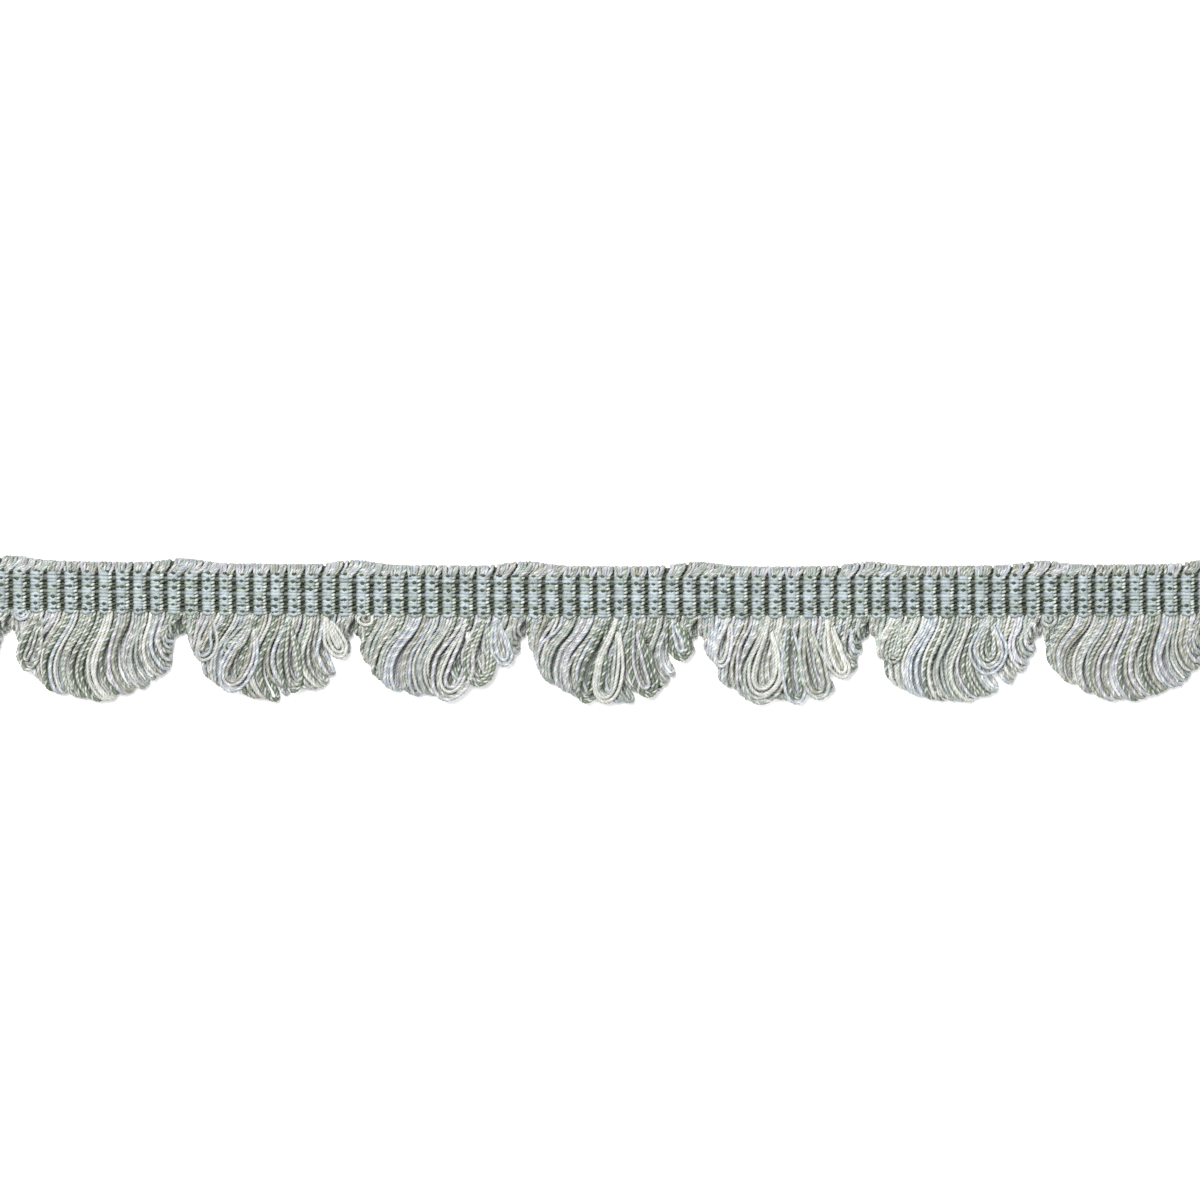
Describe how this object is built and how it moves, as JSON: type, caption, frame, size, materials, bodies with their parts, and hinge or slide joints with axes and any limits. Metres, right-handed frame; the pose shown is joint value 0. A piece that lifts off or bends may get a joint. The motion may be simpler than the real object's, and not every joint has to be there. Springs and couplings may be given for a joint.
{
  "type": "fan edge trim",
  "caption": "Cut length of furnishing trim: a ribbed woven heading with a turned top edge, and folded yarn loops below it that hang in rounded fans.",
  "frame": {"origin": "middle of the trim's bounding box, on the surface that the trim lies on", "axes": "+X along the trim, +Y across it from the fans towards the turned top edge of the heading, +Z out of its face"},
  "size_m": [0.2744, 0.031, 0.003],
  "materials": {
    "heading": "ribbed weave, pale blue and dark green warps over grey-green yarn bundles",
    "loops": "plied yarn in cream, pale blue, sage and greige, with a silky surface"
  },
  "bodies": {
    "root": {"heading": "heading", "fan_1": "loops", "fan_2": "loops", "fan_3": "loops", "fan_4": "loops", "fan_5": "loops", "fan_6": "loops", "fan_7": "loops", "fan_8": "loops"}
  },
  "joints": []
}
